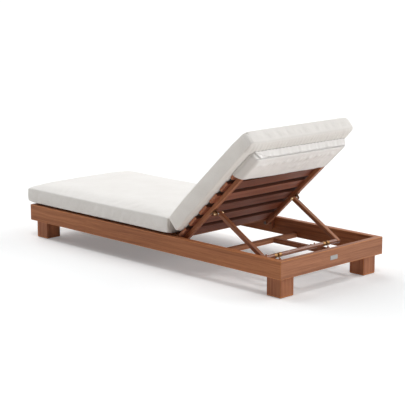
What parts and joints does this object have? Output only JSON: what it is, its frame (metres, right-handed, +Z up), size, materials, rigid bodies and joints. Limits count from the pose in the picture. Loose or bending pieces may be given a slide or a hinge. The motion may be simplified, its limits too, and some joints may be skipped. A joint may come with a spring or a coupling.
{
  "type": "sun lounger",
  "caption": "Low timber lounger with box frame and block feet, slatted seat, reclining slatted back held by a swinging prop over toothed racks, and a folded boxed cushion.",
  "frame": {"origin": "on the floor, under the middle of the whole object's bounding box", "axes": "+Y towards the head end, +Z up, +X to the left hand of a person who lies on it face up"},
  "size_m": [0.8054, 2.0316, 0.8111],
  "materials": {
    "oiled_hardwood": "oiled red-brown hardwood, satin",
    "aged_brass": "plain brass, lightly dulled",
    "satin_steel": "satin stainless steel",
    "black_glide": "matt moulded plastic",
    "canvas": "off-white woven outdoor canvas"
  },
  "bodies": {
    "frame": {"side_rail_left": "oiled_hardwood", "side_rail_right": "oiled_hardwood", "head_rail": "oiled_hardwood", "foot_rail": "oiled_hardwood", "foot_block_head_left": "oiled_hardwood", "foot_block_head_right": "oiled_hardwood", "foot_block_foot_left": "oiled_hardwood", "foot_block_foot_right": "oiled_hardwood", "foot_glides": "black_glide", "seat_slat_01": "oiled_hardwood", "seat_slat_02": "oiled_hardwood", "seat_slat_03": "oiled_hardwood", "seat_slat_04": "oiled_hardwood", "seat_slat_05": "oiled_hardwood", "seat_slat_06": "oiled_hardwood", "seat_slat_07": "oiled_hardwood", "seat_slat_08": "oiled_hardwood", "seat_slat_09": "oiled_hardwood", "seat_slat_10": "oiled_hardwood", "seat_slat_11": "oiled_hardwood", "seat_slat_12": "oiled_hardwood", "seat_ledger_left": "oiled_hardwood", "seat_ledger_right": "oiled_hardwood", "seat_spine": "oiled_hardwood", "cross_rail": "oiled_hardwood", "rack_bearer_left": "oiled_hardwood", "rack_bearer_right": "oiled_hardwood", "head_ledger": "oiled_hardwood", "toothed_rack_left": "oiled_hardwood", "toothed_rack_right": "oiled_hardwood", "recline_bolts": "satin_steel", "recline_washers": "satin_steel", "bare_plate": "satin_steel"},
    "backrest": {"back_stile_left": "oiled_hardwood", "back_stile_right": "oiled_hardwood", "back_slat_1": "oiled_hardwood", "back_slat_2": "oiled_hardwood", "back_slat_3": "oiled_hardwood", "back_slat_4": "oiled_hardwood", "back_slat_5": "oiled_hardwood", "back_slat_6": "oiled_hardwood", "back_slat_7": "oiled_hardwood", "bail_bracket_left": "aged_brass", "bail_bracket_right": "aged_brass", "bail_bolts": "aged_brass", "bail_spacers": "satin_steel", "bail_dome_nuts": "aged_brass", "back_cushion": "canvas", "cushion_hood": "canvas"},
    "bail": {"bail_arm_left": "oiled_hardwood", "bail_arm_right": "oiled_hardwood", "crossbar_middle": "oiled_hardwood", "crossbar_end_left": "oiled_hardwood", "crossbar_end_right": "oiled_hardwood", "crossbar_spool_left": "aged_brass", "crossbar_spool_right": "aged_brass"},
    "seat_pad": {"seat_cushion": "canvas"}
  },
  "joints": [
    {"name": "back_recline", "type": "hinge", "parent": "frame", "child": "backrest", "pos_m": [0, 0.25425, 0.168], "axis": [1, 0, 0], "range_deg": [-43.2, 15.3]},
    {"name": "bail_swing", "type": "hinge", "parent": "backrest", "child": "bail", "pos_m": [0, 0.4829, 0.34348], "axis": [1, 0, 0], "range_deg": [-26.5, 74.5]},
    {"name": "seat_pad_slide", "type": "slide", "parent": "frame", "child": "seat_pad", "axis": [0, 1, 0], "range_m": [-0.036, 0.1]}
  ],
  "couplings": [
    {"joint": "bail_swing", "follows": "back_recline", "ratio": -1.72},
    {"joint": "seat_pad_slide", "follows": "back_recline", "m_per_rad": -0.1306}
  ]
}
